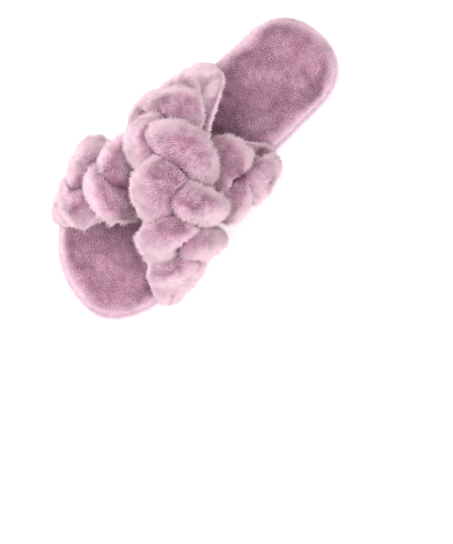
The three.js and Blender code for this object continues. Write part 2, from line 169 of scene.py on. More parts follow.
REAR_FLARE_REACH = 0.45

# ---- Outline of the sole ----

def bezier(p0, p1, p2, p3, count=160):
    t = np.linspace(0, 1, count, endpoint=False)[:, None]
    p0, p1, p2, p3 = (np.array(p, float) for p in (p0, p1, p2, p3))
    return (1 - t) ** 3 * p0 + 3 * t * (1 - t) ** 2 * p1 + 3 * t * t * (1 - t) * p2 + t ** 3 * p3


def sole_outline():
    """The sole's edge: up the outer side from the heel, round the toe and back down the inner side."""
    half = SOLE_LENGTH / 2
    heel = HEEL_WIDTH / 2
    heel_y = -half + HEEL_ROUND
    waist_y = -half + WAIST_FROM_HEEL
    outer_y = half - TOE_ROUND_OUTER
    inner_y = half - TOE_ROUND_INNER
    tip = -TOE_SIDE
    outer, inner, waist = BALL_HALF_OUTER, -BALL_HALF_INNER, -WAIST_HALF_INNER
    full, soft, blunt, easy = 0.62, 0.55, 0.72, 0.4  # how far each curve's handles reach
    heel_pull = full * HEEL_ROUND
    outer_pull = easy * (outer_y - heel_y)
    waist_pull = easy * (inner_y - waist_y)
    toe_outer = tip + soft * (outer - tip)
    toe_inner = tip + soft * (inner - tip)
    blunt_y = outer_y + blunt * TOE_ROUND_OUTER
    round_y = inner_y + soft * TOE_ROUND_INNER
    arch_pull = 20.0
    return np.concatenate([
        bezier((0, -half), (full * heel, -half), (heel, heel_y - heel_pull), (heel, heel_y)),
        bezier((heel, heel_y), (heel, heel_y + outer_pull), (outer, outer_y - outer_pull), (outer, outer_y)),
        bezier((outer, outer_y), (outer, blunt_y), (toe_outer, half), (tip, half)),
        bezier((tip, half), (toe_inner, half), (inner, round_y), (inner, inner_y)),
        bezier((inner, inner_y), (inner, inner_y - waist_pull),
               (waist, waist_y + waist_pull), (waist, waist_y)),
        bezier((waist, waist_y), (waist, waist_y - arch_pull),
               (-heel, heel_y + arch_pull), (-heel, heel_y)),
        bezier((-heel, heel_y), (-heel, heel_y - heel_pull), (-full * heel, -half), (0, -half)),
    ])


def evenly(loop, count):
    """A closed loop of points, placed again at even steps."""
    closed = np.vstack([loop, loop[:1]])
    run = np.concatenate([[0], np.cumsum(np.linalg.norm(np.diff(closed, axis=0), axis=1))])
    at = np.linspace(0, run[-1], count, endpoint=False)
    return np.stack([np.interp(at, run, closed[:, k]) for k in range(2)], axis=1)


def outward(loop):
    along = np.roll(loop, -1, axis=0) - np.roll(loop, 1, axis=0)
    along /= np.linalg.norm(along, axis=1)[:, None]
    return np.stack([along[:, 1], -along[:, 0]], axis=1)


OUTLINE = evenly(sole_outline(), 960)
OUTWARD = outward(OUTLINE)
box_low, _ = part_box("outsole")
SHIFT = np.array([box_low[0] / MM - OUTLINE[:, 0].min(), box_low[1] / MM - OUTLINE[:, 1].min(), 0.0])


def side_run(loop, side):
    """The places in a loop from heel to toe, on the outer (1) or inner (-1) side."""
    top, bottom = np.argmax(loop[:, 1]), np.argmin(loop[:, 1])
    count = len(loop)
    if side > 0:
        return [(bottom + k) % count for k in range((top - bottom) % count + 1)]
    return [(top + k) % count for k in range((bottom - top) % count + 1)][::-1]


SIDE_RUNS = {side: side_run(OUTLINE, side) for side in (1, -1)}


def edge_at(y, side):
    """The sole's edge and its outward direction at lengthwise places y."""
    run = SIDE_RUNS[side]
    ys = OUTLINE[run, 1]
    place = np.stack([np.interp(y, ys, OUTLINE[run, 0]), y], axis=-1)
    out = np.stack([np.interp(y, ys, OUTWARD[run, k]) for k in range(2)], axis=-1)
    return place, out / np.linalg.norm(out, axis=-1, keepdims=True)


def inset_depth(points):
    """How far in from the outline each point lies."""
    depth = np.empty(len(points))
    batch = 4000
    for first in range(0, len(points), batch):
        part = points[first:first + batch]
        depth[first:first + batch] = np.sqrt(((part[:, None, :2] - OUTLINE[None]) ** 2).sum(2).min(1))
    return depth


def inside_outline(x, y):
    a, b = OUTLINE, np.roll(OUTLINE, -1, axis=0)
    spans = (a[:, 1] > y) != (b[:, 1] > y)
    share = (y - a[spans, 1]) / (b[spans, 1] - a[spans, 1])
    crossing = a[spans, 0] + share * (b[spans, 0] - a[spans, 0])
    return (crossing > x).sum() % 2 == 1


# ---- Smooth noise for nap, clumps and dents: a sum of seeded waves in space ----

def waves(points, size, count=22):
    """About -1 to 1 over points in millimetres, with bumps about size across."""
    turn = chance.normal(size=(count, 3))
    turn /= np.linalg.norm(turn, axis=1)[:, None]
    turn *= (2 * math.pi / (2 * size)) * chance.uniform(0.6, 1.5, (count, 1))
    phase = chance.uniform(0, 2 * math.pi, count)
    total = np.zeros(len(points))
    for k in range(count):
        total += np.sin(points @ turn[k] + phase[k])
    return total / math.sqrt(count / 2)


def wavy_vectors(points, amount, size):
    return np.stack([amount * waves(points, size) for _ in range(3)], axis=1)


# ---- Materials ----

def linear(colour):
    """sRGB hex to linear RGBA."""
    channels = [int(colour[i:i + 2], 16) / 255 for i in (1, 3, 5)]
    return [c / 12.92 if c <= 0.04045 else ((c + 0.055) / 1.055) ** 2.4 for c in channels] + [1.0]


def set_inputs(material, node, inputs):
    """Each input takes the output that feeds it, or a fixed value."""
    for socket, value in inputs.items():
        if isinstance(value, bpy.types.NodeSocket):
            material.node_tree.links.new(value, node.inputs[socket])
        else:
            node.inputs[socket].default_value = value


def add_node(material, kind, inputs=None, stops=(), **settings):
    """A node with its settings and inputs. Stops are the places and colours of a colour ramp."""
    node = material.node_tree.nodes.new(kind)
    for setting, value in settings.items():
        setattr(node, setting, value)
    set_inputs(material, node, inputs or {})
    if stops:
        elements = node.color_ramp.elements
        while len(elements) < len(stops):
            elements.new(0.5)
        for element, (at, colour) in zip(elements, stops):
            element.position = at
            element.color = linear(colour)
    return node


def new_material(name):
    material = bpy.data.materials.new(name)
    material.use_nodes = True
    return material, material.node_tree.nodes["Principled BSDF"]


def plush(name, root, middle, tip, deep, sheen, patch_mm, drift):
    """Faux fur: knitted polyester pile, sheared and brushed. Along each tuft the colour runs from a dark
    root to a pale tip, and the dark root is painted shade deep in the pile. The nap drifts to a deeper tone
    over patches as wide as a finger. Creases are painted as dark as the roots: painted shade where strands
    press together.
    Seen aslant, the colour turns to a pale painted sheen, except in the creases. Light soaks in from above,
    so its shading leans upwards."""
    material, shader = new_material(name)
    backing = add_node(material, "ShaderNodeAttribute", attribute_name="backing_normal")
    tuft = add_node(material, "ShaderNodeNewGeometry")
    blend = add_node(material, "ShaderNodeMix", data_type="VECTOR", inputs={
        "Factor": 0.7, "A": tuft.outputs["Normal"], "B": backing.outputs["Vector"]})
    facing = add_node(material, "ShaderNodeVectorMath", operation="NORMALIZE", inputs={
        0: blend.outputs["Result"]})
    lifted = add_node(material, "ShaderNodeVectorMath", operation="ADD", inputs={
        0: facing.outputs["Vector"], 1: (0, 0, 0.7)})
    lit = add_node(material, "ShaderNodeVectorMath", operation="NORMALIZE", inputs={
        0: lifted.outputs["Vector"]})

    # Painted shade: the ramp darkens each tuft towards its root for the shade deep in the pile; the middle
    # and tip colours are the fur's own pink.
    pile = add_node(material, "ShaderNodeAttribute", attribute_name="pile")
    tuft_colour_and_root_shade = add_node(material, "ShaderNodeValToRGB", {"Fac": pile.outputs["Fac"]},
                     stops=[(0.0, root), (0.45, middle), (1.0, tip)])
    place = add_node(material, "ShaderNodeTexCoord")
    patches = add_node(material, "ShaderNodeTexNoise", {
        "Vector": place.outputs["Object"], "Scale": 1000.0 / patch_mm, "Detail": 3.0})
    strength = add_node(material, "ShaderNodeMapRange", {
        "Value": patches.outputs["Fac"], "From Min": 0.42, "From Max": 0.68, "To Max": drift})
    drifted = add_node(material, "ShaderNodeMix", data_type="RGBA", inputs={
        "Factor": strength.outputs["Result"], "A": tuft_colour_and_root_shade.outputs["Color"], "B": linear(deep)})

    # Painted shade in the creases: where strands press together, the colour is mixed towards the dark root
    # colour.
    crease = add_node(material, "ShaderNodeAttribute", attribute_name="painted_crease_shade")
    with_painted_crease_shade = add_node(material, "ShaderNodeMix", data_type="RGBA", inputs={
        "Factor": crease.outputs["Fac"], "A": drifted.outputs["Result"], "B": linear(root)})
    # Painted sheen: where the surface is seen aslant, the base colour is mixed towards the pale sheen
    # colour, and less so in the creases.
    aslant = add_node(material, "ShaderNodeLayerWeight", {"Normal": facing.outputs["Vector"]})
    painted_sheen_share = add_node(material, "ShaderNodeMapRange", {
        "Value": aslant.outputs["Facing"], "From Min": 0.06, "From Max": 0.5, "To Max": 0.68})
    painted_sheen_off_creases = add_node(material, "ShaderNodeMath", operation="SUBTRACT", use_clamp=True, inputs={
        0: painted_sheen_share.outputs["Result"], 1: crease.outputs["Fac"]})
    # The base colour, with the painted sheen mixed in where the surface is seen aslant.
    tips = add_node(material, "ShaderNodeMix", data_type="RGBA", inputs={
        "Factor": painted_sheen_off_creases.outputs["Value"], "A": with_painted_crease_shade.outputs["Result"], "B": linear(sheen)})
    set_inputs(material, shader, {
        "Base Color": tips.outputs["Result"], "Normal": lit.outputs["Vector"], "Roughness": 0.85,
        "Specular IOR Level": 0.15, "Sheen Weight": 0.12, "Sheen Roughness": 0.5,
        "Sheen Tint": linear("#f6e4ec")})
    return material


def moulded_rubber():
    """Thermoplastic rubber, injection moulded: satin, faintly mottled, with the fine grain of the mould. The
    grain is drawn coarser than it is, so that it shows."""
    material, shader = new_material("Moulded_rubber_pale_pink")
    place = add_node(material, "ShaderNodeTexCoord")
    mottle = add_node(material, "ShaderNodeTexNoise", {
        "Vector": place.outputs["Object"], "Scale": 60.0, "Detail": 4.0})
    colour = add_node(material, "ShaderNodeValToRGB", {"Fac": mottle.outputs["Fac"]},
                      stops=[(0.3, "#d5bbca"), (0.7, "#e0ccd8")])
    grain = add_node(material, "ShaderNodeTexNoise", {
        "Vector": place.outputs["Object"], "Scale": 1600.0, "Detail": 2.0})
    bump = add_node(material, "ShaderNodeBump", {
        "Height": grain.outputs["Fac"], "Strength": 0.25, "Distance": 0.3 * MM})
    set_inputs(material, shader, {
        "Base Color": colour.outputs["Color"], "Normal": bump.outputs["Normal"], "Roughness": 0.42,
        "IOR": 1.5})
    return material


def grainy(name, pale, deep, size_mm, roughness, depth_mm):
    """A plain dull material whose colour and surface vary over grains of one size."""
    material, shader = new_material(name)
    place = add_node(material, "ShaderNodeTexCoord")
    grains = add_node(material, "ShaderNodeTexNoise", {
        "Vector": place.outputs["Object"], "Scale": 1000.0 / size_mm, "Detail": 3.0})
    colour = add_node(material, "ShaderNodeValToRGB", {"Fac": grains.outputs["Fac"]},
                      stops=[(0.3, deep), (0.7, pale)])
    bump = add_node(material, "ShaderNodeBump", {
        "Height": grains.outputs["Fac"], "Strength": 0.5, "Distance": depth_mm * MM})
    set_inputs(material, shader, {
        "Base Color": colour.outputs["Color"], "Normal": bump.outputs["Normal"], "Roughness": roughness})
    return material


# root also gives the painted shade deep in the pile and in the creases, and sheen is the colour of the
# painted sheen seen aslant.
STRAP_PLUSH = plush(
    "Brushed_faux_fur_dusty_pink", root="#9a6781", middle="#d8a9be", tip="#f7dee8", deep="#c999af",
    sheen="#fcdfe9", patch_mm=16, drift=0.4)
BED_PLUSH = plush(
    "Sheared_faux_fur_mauve", root="#85566e", middle="#c797ad", tip="#eac9d8", deep="#bb8aa1",
    sheen="#f8d8e4", patch_mm=14, drift=0.1)
RUBBER = moulded_rubber()
FOAM = grainy("Closed_cell_foam_cream", "#f3efe8", "#e6dfd4", size_mm=1.2, roughness=0.9, depth_mm=0.2)
BOARD = grainy("Fibre_insole_board", "#cdb996", "#b59e78", size_mm=2.0, roughness=0.9, depth_mm=0.1)
THREAD = grainy(
    "Twisted_polyester_thread_pink", "#dcb9cb", "#bd93a9", size_mm=0.6, roughness=0.6, depth_mm=0.1)


# ---- Meshes ----

def add_piece(mesh):
    piece = bpy.data.objects.new(mesh.name, mesh)
    bpy.context.scene.collection.objects.link(piece)
    return piece


def moulded_piece(name, points, faces, material):
    mesh = bpy.data.meshes.new(name)
    mesh.from_pydata([tuple(p) for p in (np.asarray(points) + SHIFT) * MM], [], faces)
    mesh.materials.append(material)
    mesh.polygons.foreach_set("use_smooth", [True] * len(mesh.polygons))
    mesh.update()
    return add_piece(mesh)


def quad_normals(corners):
    normal = np.cross(corners[:, 2] - corners[:, 0], corners[:, 3] - corners[:, 1])
    return normal / np.maximum(np.linalg.norm(normal, axis=1), 1e-9)[:, None]


def backing_normals(base, quads, normal):
    """The smooth surface's own direction at each point of it."""
    backing = np.zeros_like(base)
    for k in range(4):
        np.add.at(backing, quads[:, k], normal)
    return backing / np.maximum(np.linalg.norm(backing, axis=1), 1e-9)[:, None]


def triangle_mesh(name, points, faces):
    mesh = bpy.data.meshes.new(name)
    mesh.vertices.add(len(points))
    mesh.vertices.foreach_set("co", ((points + SHIFT) * MM).astype(np.float32).ravel())
    mesh.loops.add(len(faces) * 3)
    mesh.loops.foreach_set("vertex_index", faces.astype(np.int32).ravel())
    mesh.polygons.add(len(faces))
    mesh.polygons.foreach_set("loop_start", (np.arange(len(faces)) * 3).astype(np.int32))
    mesh.polygons.foreach_set("use_smooth", np.ones(len(faces), dtype=bool))
    mesh.update(calc_edges=True)
    return mesh


def store(mesh, name, kind, field, values):
    attribute = mesh.attributes.new(name, kind, "POINT")
    attribute.data.foreach_set(field, values.astype(np.float32).ravel())


def grow_pile(name, base, quads, uv, length, nap, material, crease, clumps=0.16):
    """A surface of small quads, each drawn out into one tuft of pile. nap is how far the tips lie over,
    crease is 1 where the surface is pressed into a fold and weights the painted crease shade there, and
    clumps is how much the tips vary in tone."""
    corners = base[quads]
    middle = corners.mean(1)
    normal = quad_normals(corners)
    backing = backing_normals(base, quads, normal)
    uneven = PILE_UNEVEN * waves(middle, CLUMP_SIZE) + PILE_UNEVEN * chance.standard_normal(len(quads))
    tall = np.maximum(length * (1 + uneven), 0.3 * length)
    lying = nap - (nap * normal).sum(1)[:, None] * normal
    scatter = PILE_SCATTER * chance.standard_normal((len(quads), 3))
    tips = middle + tall[:, None] * (normal + lying + scatter)
    tone = TIP_TONE + clumps * waves(middle, TONE_SIZE) + TONE_SCATTER * chance.standard_normal(len(quads))

    hub = len(base) + np.arange(len(quads))
    sides = [(k, (k + 1) % 4) for k in range(4)]
    faces = np.stack([np.stack([quads[:, a], quads[:, b], hub], axis=1) for a, b in sides], axis=1)
    mesh = triangle_mesh(name, np.vstack([base, tips]), faces.reshape(-1, 3))
    mesh.materials.append(material)
    store(mesh, "pile", "FLOAT", "value", np.concatenate([np.zeros(len(base)), np.clip(tone, 0.2, 1)]))
    # The crease weight is stored to paint shade into the creases.
    store(mesh, "painted_crease_shade", "FLOAT", "value", np.concatenate([crease, crease[quads].mean(1)]))
    store(mesh, "backing_normal", "FLOAT_VECTOR", "vector", np.vstack([backing, normal]))
    corner_uv = np.stack([np.stack([uv[:, a], uv[:, b], uv.mean(1)], axis=1) for a, b in sides], axis=1)
    layer = mesh.uv_layers.new(name="OFBake")
    layer.data.foreach_set("uv", corner_uv.reshape(-1, 2).astype(np.float32).ravel())
    mesh.validate()
    return add_piece(mesh)


def corner_uvs(u0, u1, v0, v1):
    """The corners of each quad's place in the UV map, from its first row to its second and back."""
    return np.stack([np.stack(c, axis=-1) for c in ((u0, v0), (u0, v1), (u1, v1), (u1, v0))], axis=-2)


def tube_quads(rows, columns):
    """Quads and their UVs for rows of points round a tube."""
    i, j = np.meshgrid(np.arange(rows - 1), np.arange(columns), indexing="ij")
    k = (j + 1) % columns
    here, below = i * columns, (i + 1) * columns
    quads = np.stack([here + j, below + j, below + k, here + k], axis=-1)
    uv = corner_uvs(j / columns, (j + 1) / columns, i / (rows - 1), (i + 1) / (rows - 1))
    return quads.reshape(-1, 4), uv.reshape(-1, 4, 2)


def close_end(base, ring, uv_place):
    """A fan of quads round the middle of a tube's end."""
    hub = len(base)
    count = len(ring)
    steps = range(0, count, 2)
    fan = np.array([[ring[k], ring[(k + 1) % count], ring[(k + 2) % count], hub] for k in steps])
    return np.vstack([base, base[ring].mean(0)]), fan, np.zeros((len(fan), 4, 2)) + uv_place


def plush_tube(name, base, rows, columns, pile, crease):
    """A tube of pile with closed ends. Its pile is shorter in the creases, which also carry painted shade.
    """
    quads, uv = tube_quads(rows, columns)
    first = np.arange(columns)
    last = (rows - 1) * columns + first[::-1]
    for ring, v in ((first, 0.0), (last, 1.0)):
        base, fan, fan_uv = close_end(base, ring, np.array([0.5, v]))
        quads, uv = np.vstack([quads, fan]), np.concatenate([uv, fan_uv])
    nap = wavy_vectors(base[quads].mean(1), STRAND_NAP, STRAND_NAP_SIZE)
    crease = np.concatenate([crease, np.zeros(len(base) - len(crease))])
    length = pile * (1 - CREASE_SHEARED * crease[quads].mean(1))
    return grow_pile(name, base, quads, uv * 0.98 + 0.01, length, nap, STRAP_PLUSH, crease)


# ---- Straps: the same arches as the frame's ----

def unit(vectors):
    return vectors / np.linalg.norm(vectors, axis=-1, keepdims=True)


def swelling(share):
    """A quarter round from 0 to 1."""
    return np.sqrt(1 - (1 - np.clip(share, 0, 1)) ** 2)


class Strap:
    """An arch over the foot. Its angle runs from 0 at its outer root to pi at its inner one."""

    def __init__(self, name, outer_root, inner_root, height, bulges, phase, reach):
        self.name, self.height, self.bulges, self.phase = name, height, bulges, phase
        self.angles = np.linspace(*reach, STRAND_ROWS)
        self.outer_root, self.inner_root = outer_root, inner_root
        self.floor = RIM_HEIGHT + BAND_FLOOR_CLEARANCE

    def root(self, from_toe, side, across):
        place, out = edge_at(SOLE_LENGTH / 2 - from_toe + (across - 0.5) * BAND_LENGTHWISE, side)
        return place - out * RIM_WIDTH / 2

    def point(self, angle, across):
        angle, across = np.broadcast_arrays(np.asarray(angle, float), np.asarray(across, float))
        outer = self.root(self.outer_root, 1, across)
        inner = self.root(self.inner_root, -1, across)
        c = np.cos(angle)
        outer_bulge, inner_bulge = self.bulges
        bulge = (outer_bulge + inner_bulge) / 2 + (outer_bulge - inner_bulge) / 2 * c
        swing = (c * (1 + bulge * (1 - c * c)))[..., None]
        plan = outer + (inner - outer) * (0.5 - 0.5 * swing)
        rise = self.floor + (self.height - self.floor) * np.sin(angle)
        return np.concatenate([plan, rise[..., None]], axis=-1)

    def section(self, angle, across=0.5):
        """The band's surface there, the direction over it towards the toe, and the direction out of it."""
        step = 1e-3
        along = unit(self.point(angle + step, across) - self.point(angle - step, across))
        sideways = self.point(angle, across + step) - self.point(angle, across - step)
        out = unit(np.cross(sideways, along))
        return self.point(angle, across), np.cross(along, out), out

    def root_squash(self):
        """How much of its height the plait keeps at each angle: it is low at its roots."""
        return ROOT_SQUASH + (1 - ROOT_SQUASH) * np.sin(self.angles)


TOP = Strap("top_strap", OUTER_REAR_ROOT, INNER_FRONT_ROOT, UNDER_BAND_HEIGHT + BAND_SPACING, TOP_BULGES,
            TOP_PHASE, TOP_PLAIT)
UNDER = Strap("under_strap", OUTER_FRONT_ROOT, INNER_REAR_ROOT, UNDER_BAND_HEIGHT, UNDER_BULGES,
              UNDER_PHASE, UNDER_PLAIT)


def room_over(strap, other):
    """How high a plait may stand on this strap at each angle before it meets the band that crosses it."""
    angles, places = np.meshgrid(np.linspace(0, math.pi, 91), np.linspace(0, 1, 17))
    cloud = other.point(angles.ravel(), places.ravel())
    half_slice, above, plenty = 3.5, 2, 99.0
    reach = PLAIT_SWING + STRAND_HALF_WIDTH * 0.7
    rooms = []
    for angle in strap.angles:
        at, over, out = strap.section(angle)
        offset = cloud - at
        up, side, away = offset @ out, offset @ over, offset @ np.cross(over, out)
        near = (np.abs(away) < half_slice) & (np.abs(side) < reach) & (up > above)
        rooms.append(up[near].min() if near.any() else plenty)
    return np.array(rooms)


def ease(values, most_step):
    """The values, lowered so that no two neighbours differ by more than a step."""
    values = values.copy()
    for i in range(1, len(values)):
        values[i] = min(values[i], values[i - 1] + most_step)
    for i in range(len(values) - 2, -1, -1):
        values[i] = min(values[i], values[i + 1] + most_step)
    return values


class Plait:
    """Where three strands lie on their strap. In a section x goes towards the toe and y out of the band."""

    def __init__(self, strap, low):
        self.strap, self.low = strap, low
        self.sections = [strap.section(a) for a in strap.angles]
        at = np.array([s[0] for s in self.sections])
        run = np.concatenate([[0], np.cumsum(np.linalg.norm(np.diff(at, axis=0), axis=1))]) * PATH_STRETCH
        count = len(run)
        from_end = np.minimum(np.arange(count), np.arange(count)[::-1]) / (count * END_SHARE)
        self.plump = END_PLUMP + (1 - END_PLUMP) * swelling(from_end)
        turn = 2 * math.pi * run / PLAIT_PITCH + strap.phase
        turns = np.array([turn + 2 * math.pi * n / STRANDS for n in range(STRANDS)])
        self.x = PLAIT_SHIFT + PLAIT_SWING * np.cos(turns)
        self.on_top = (OVERLAP_BIAS * np.sin(turns) - np.sin(2 * turns)) / (1 + 0.4 * OVERLAP_BIAS)
        lift = STRAND_HALF_HEIGHT + PLAIT_LIFT * (1 + self.on_top)
        self.y = BAND_THICKNESS / 2 + BAND_GAP + low * lift

    def ring(self, n, i, around):
        """Points round strand n in section i, and how hard each is pressed by the other strands."""
        fat = 1 + STRAND_SWELL * self.on_top[n, i]
        wide = STRAND_HALF_WIDTH * self.plump[i] * fat
        high = STRAND_HALF_HEIGHT * self.plump[i] * self.low[i] * fat
        shape = wide / high
        free = (1.0 / wide) ** PRESS_SHARPNESS * np.ones(len(around))
        closeness = free.copy()
        for other in range(STRANDS):
            if other == n:
                continue
            between = np.array([self.x[other, i] - self.x[n, i],
                                (self.y[other, i] - self.y[n, i]) * shape])
            far = np.linalg.norm(between)
            share = np.cos(around) * between[0] + np.sin(around) * between[1]
            aspect = STRAND_HALF_WIDTH / STRAND_HALF_HEIGHT
            spare = STRAND_SEAM * math.hypot(between[0], between[1] * aspect) / far
            reach = far * max(far - spare, LEAST_PRESSED * far) / (2 * np.maximum(share, 1e-6))
            closeness += np.where(share > 0, (1.0 / np.maximum(reach, 0.5)) ** PRESS_SHARPNESS, 0)
        reach = closeness ** (-1 / PRESS_SHARPNESS)
        x = self.x[n, i] + reach * np.cos(around)
        y = self.y[n, i] + reach * np.sin(around) / shape
        y -= PLAIT_DROOP * np.maximum(x - PLAIT_SHIFT, 0) ** 2
        hanging = DROOP_DEPTH * np.clip((x - DROOP_START) / DROOP_WIDTH, 0, 1)
        y = np.maximum(y, BAND_THICKNESS / 2 + LEAST_OVER_BAND - hanging)
        origin, over, out = self.sections[i]
        return origin + x[:, None] * over + y[:, None] * out, np.sqrt(1 - free / closeness)


def add_plait(strap, low):
    """Three plush strands that press each other flat where they meet."""
    plait = Plait(strap, low)
    around = np.linspace(0, 2 * math.pi, STRAND_COLUMNS, endpoint=False)
    for n in range(STRANDS):
        rings, pressed = zip(*(plait.ring(n, i, around) for i in range(STRAND_ROWS)))
        base = np.concatenate(rings)
        base += STRAND_DENTS * wavy_vectors(base, 1, 11)
        piece = plush_tube(f"{strap.name}_strand_{n + 1}_plush", base, STRAND_ROWS, STRAND_COLUMNS,
                           STRAND_PILE, np.concatenate(pressed))
        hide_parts(f"{strap.name}_strand_{n + 1}", f"{strap.name}_filling_{n + 1}")
        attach(piece, "root")


def add_band(strap):
    """The plush band under a plait: a soft flattened loop of pile from one edge of the sole to the other."""
    angle, turn = np.meshgrid(np.linspace(0, math.pi, BAND_ROWS),
                              np.linspace(0, 2 * math.pi, BAND_COLUMNS, endpoint=False), indexing="ij")
    angle = angle.ravel()
    c, s = np.cos(turn.ravel()), np.sin(turn.ravel())
    from_root = np.minimum(angle, math.pi - angle)
    spread = BAND_ROOT_SHARE + (1 - BAND_ROOT_SHARE) * swelling(from_root / BAND_WIDEN_REACH)
    flare = REAR_FLARE * np.clip(-c, 0, 1) * np.exp(-((angle - REAR_FLARE_AT) / REAR_FLARE_REACH) ** 2)
    across = 0.5 + BAND_SPREAD * spread * np.sign(c) * np.abs(c) ** 0.8 - flare
    at, _, out = strap.section(angle, across)
    puff = np.clip(1 - from_root / BAND_ROOT_REACH, 0, 1)
    puff = BAND_ROOT_PUFF * puff * puff * (3 - 2 * puff)
    height = BAND_LIFT + puff + (BAND_PLUMP + puff) * np.sign(s) * np.abs(s) ** 0.7
    base = at + height[:, None] * out
    piece = plush_tube(f"{strap.name}_band_plush", base, BAND_ROWS, BAND_COLUMNS,
                       BAND_PILE, np.zeros(len(base)))
    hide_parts(f"{strap.name}_band")
    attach(piece, "root")


crossing_room = room_over(UNDER, TOP) - BAND_THICKNESS - 2 * BAND_GAP
plait_height = 2 * (STRAND_HALF_HEIGHT + PLAIT_LIFT)
crossing_squash = np.clip(crossing_room / plait_height, LEAST_SQUASH, 1)
add_plait(TOP, TOP.root_squash())
add_plait(UNDER, ease(np.minimum(UNDER.root_squash(), crossing_squash), SINK_STEP))
add_band(TOP)
add_band(UNDER)


# ---- Footbed ----

def bed_plan():
    """A grid of rows across the bed, squeezed into its outline."""
    u, v = np.meshgrid(np.linspace(-1, 1, BED_COLUMNS + 1), np.linspace(-1, 1, BED_ROWS + 1), indexing="xy")
    disc_x = (u * np.sqrt(1 - v * v / 2)).ravel()
    disc_y = (v * np.sqrt(1 - u * u / 2)).ravel()
    inner = OUTLINE - OUTWARD * BED_INSET
    low, high = inner[:, 1].min(), inner[:, 1].max()
    y = (low + high) / 2 + (high - low) / 2 * disc_y
    right, left = (inner[side_run(inner, side)] for side in (1, -1))
    x_right = np.interp(y, right[:, 1], right[:, 0])
    x_left = np.interp(y, left[:, 1], left[:, 0])
    share = np.clip(disc_x / np.sqrt(np.maximum(1 - disc_y ** 2, 1e-9)), -1, 1)
    return np.stack([(x_right + x_left) / 2 + share * (x_right - x_left) / 2, y], axis=1)


def bed_height(plan):
    """The edge is a soft roll, and the middle is pressed down by the foot."""
    depth = np.maximum(inset_depth(plan) - BED_INSET, 0)
    shoulder = BED_EDGE_RISE * swelling(depth / BED_SHOULDER)
    roll = BED_ROLL * np.exp(-((depth - BED_ROLL_INSET) / BED_ROLL_WIDTH) ** 2)
    dish = BED_DISH * np.clip((depth - BED_DISH_START) / BED_DISH_WIDTH, 0, 1)
    return BED_TOP - BED_EDGE_DROP + shoulder + roll - dish


def bed_quads():
    """The grid's quads, and the points of its edge in order."""
    rows, columns = BED_ROWS + 1, BED_COLUMNS + 1
    i, j = np.meshgrid(np.arange(BED_ROWS), np.arange(BED_COLUMNS), indexing="ij")
    first = i * columns + j
    quads = np.stack([first, first + 1, first + columns + 1, first + columns], axis=-1)
    u0, u1, v0, v1 = j / BED_COLUMNS, (j + 1) / BED_COLUMNS, i / BED_ROWS, (i + 1) / BED_ROWS
    corners = [np.stack(c, axis=-1) for c in ((u0, v0), (u1, v0), (u1, v1), (u0, v1))]
    uv = np.stack(corners, axis=-2) * [1.0, 0.8]
    edge = np.concatenate([
        np.arange(columns), np.arange(1, rows) * columns + BED_COLUMNS,
        (rows - 1) * columns + np.arange(BED_COLUMNS)[::-1], np.arange(1, rows - 1)[::-1] * columns])
    return quads.reshape(-1, 4), uv.reshape(-1, 4, 2), edge


def bed_wall(base, edge):
    """Points, quads and UVs of the wall that goes down from the bed's edge."""
    count = len(edge)
    here = np.arange(count)
    after = (here + 1) % count
    points, quads, uv = [], [], []
    above = edge
    for step in range(1, BED_WALL_STEPS + 1):
        ring = base[edge].copy()
        ring[:, 2] += (BED_WALL_FOOT - ring[:, 2]) * step / BED_WALL_STEPS
        below = len(base) + (step - 1) * count + here
        v0, v1 = (np.full(count, 0.82 + 0.16 * s / BED_WALL_STEPS) for s in (step - 1, step))
        points.append(ring)
        quads.append(np.stack([above, below, below[after], above[after]], axis=1))
        uv.append(corner_uvs(here / count, (here + 1) / count, v0, v1))
        above = below
    return points, quads, uv


def footbed():
    plan = bed_plan()
    base = np.column_stack([plan, bed_height(plan)])
    base[:, 2] += 0.1 * waves(base, 13)
    quads, uv, edge = bed_quads()
    wall, wall_quads, wall_uv = bed_wall(base, edge)
    base = np.vstack([base] + wall)
    quads = np.vstack([quads] + wall_quads)
    uv = np.concatenate([uv] + wall_uv)
    middle = base[quads].mean(1)
    depth = np.maximum(inset_depth(middle) - BED_INSET, 0)
    length = BED_PILE + BED_EDGE_PILE * np.exp(-(depth / BED_EDGE_REACH) ** 2)
    nap = wavy_vectors(middle, 0.35, 14)
    piece = grow_pile("footbed_fur", base, quads, uv * 0.98 + 0.01, length, nap, BED_PLUSH,
                      np.zeros(len(base)), clumps=0.09)
    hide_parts("footbed_fur_cover")
    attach(piece, "root")


footbed()


# ---- Sole ----

def join_rings(rings, count):
    """Quads between rings of points that follow one another."""
    faces = []
    for i in range(rings - 1):
        for j in range(count):
            k = (j + 1) % count
            faces.append((i * count + j, (i + 1) * count + j, (i + 1) * count + k, i * count + k))
    return faces


def tread_pockets():
    """Lozenges in slanting rows over the middle of the underside."""
    inset = GROOVE_INSET + GROOVE_WIDTH + TREAD_MARGIN + TREAD_HALF_LENGTH
    pockets = []
    for i in range(-TREAD_REACH, TREAD_REACH + 1):
        for j in range(-TREAD_REACH, TREAD_REACH + 1):
            x = i * TREAD_STEP_A[0] + j * TREAD_STEP_B[0]
            y = i * TREAD_STEP_A[1] + j * TREAD_STEP_B[1]
            if not inside_outline(x, y) or inset_depth(np.array([[x, y]]))[0] < inset:
                continue
            pockets.append([(x + TREAD_HALF_WIDTH, y), (x, y + TREAD_HALF_LENGTH),
                            (x - TREAD_HALF_WIDTH, y), (x, y - TREAD_HALF_LENGTH)])
    return np.array(pockets)


